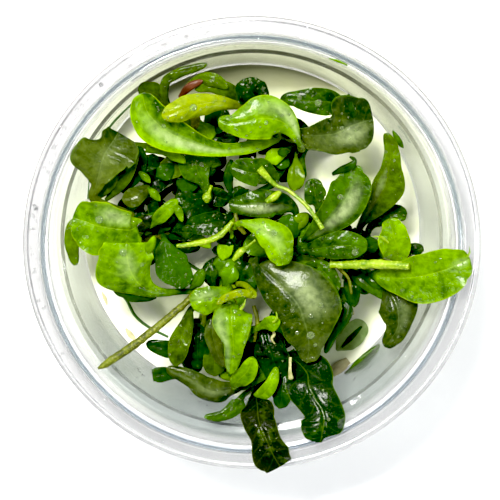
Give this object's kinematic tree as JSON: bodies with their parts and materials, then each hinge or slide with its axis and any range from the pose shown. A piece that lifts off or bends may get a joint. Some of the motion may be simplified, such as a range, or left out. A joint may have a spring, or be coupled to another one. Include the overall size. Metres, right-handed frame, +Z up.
{
  "type": "tissue culture cup of bucephalandra plantlets",
  "caption": "Clear round cup with a flat flange and stacking shoulder, set gel in its foot, and a low clump of small glossy oval-leaved aquarium plantlets on creeping stems.",
  "frame": {"origin": "middle of the cup's foot ring, on the surface that the cup stands on", "axes": "+Z up along the cup's axis, out of its mouth; +Y is the top of the picture and +X its right"},
  "size_m": [0.1, 0.1, 0.049],
  "materials": {
    "cup": "clear moulded plastic, slightly milky",
    "gel": "wet, cream, cloudy gel",
    "brown_stem": "brown-green rind",
    "green_stem": "fresh yellow-green rind, smooth",
    "bright_leaf": "young leaf, yellow-green, waxy and glossy",
    "lime_leaf": "youngest leaf, lime, waxy and glossy",
    "green_leaf": "grown leaf, mid green, waxy and glossy",
    "dark_leaf": "shaded leaf, near-black green, waxy",
    "olive_leaf": "older leaf, olive, waxy",
    "grey_leaf": "leaf seen from its grey-green, silvery side, waxy"
  },
  "bodies": {
    "root": {"cup": "cup", "gel": "gel", "stem_northwest": "brown_stem", "stem_northeast": "green_stem", "stem_west": "brown_stem", "stem_middle": "brown_stem", "stem_east": "green_stem", "stem_lower": "brown_stem", "stem_southwest": "green_stem", "stem_south": "green_stem", "stem_loose": "brown_stem", "stem_cut_east": "green_stem", "stem_arching": "green_stem", "shoot_middle": "green_stem", "shoot_long": "green_stem", "shoot_thick": "green_stem", "leaf_nw_boat": "bright_leaf", "leaf_nw_crescent": "lime_leaf", "leaf_nw_back": "olive_leaf", "leaf_nw_wall": "olive_leaf", "leaf_nw_brown": "olive_leaf", "leaf_nw_dark": "dark_leaf", "leaf_nw_hanging": "green_leaf", "leaf_n_large": "bright_leaf", "leaf_n_round": "dark_leaf", "leaf_ne_oval": "green_leaf", "leaf_ne_grey": "grey_leaf", "leaf_ne_olive": "olive_leaf", "leaf_ne_low": "green_leaf", "leaf_w_lobed": "grey_leaf", "leaf_w_narrow": "olive_leaf", "leaf_w_broad": "bright_leaf", "leaf_w_folded": "bright_leaf", "leaf_w_rimmed": "dark_leaf", "leaf_w_edge": "olive_leaf", "leaf_c_dark": "dark_leaf", "leaf_c_deep": "dark_leaf", "leaf_c_ring": "dark_leaf", "leaf_c_upper": "green_leaf", "leaf_c_sheen": "green_leaf", "leaf_c_bright": "bright_leaf", "leaf_c_largest": "grey_leaf", "leaf_c_side": "green_leaf", "leaf_e_small": "green_leaf", "leaf_e_streaked": "green_leaf", "leaf_e_oval": "green_leaf", "leaf_e_cupped": "bright_leaf", "leaf_e_behind": "dark_leaf", "leaf_e_large": "bright_leaf", "leaf_e_lower": "grey_leaf", "leaf_s_sheen": "bright_leaf", "leaf_s_pointed": "bright_leaf", "leaf_s_strip": "lime_leaf", "leaf_s_shaded": "dark_leaf", "leaf_s_lobed": "green_leaf", "leaf_s_outer": "olive_leaf", "leaf_s_thin": "green_leaf", "leaf_s_underside": "grey_leaf", "leaf_s_long": "olive_leaf", "leaf_s_blue": "dark_leaf"}
  },
  "joints": []
}
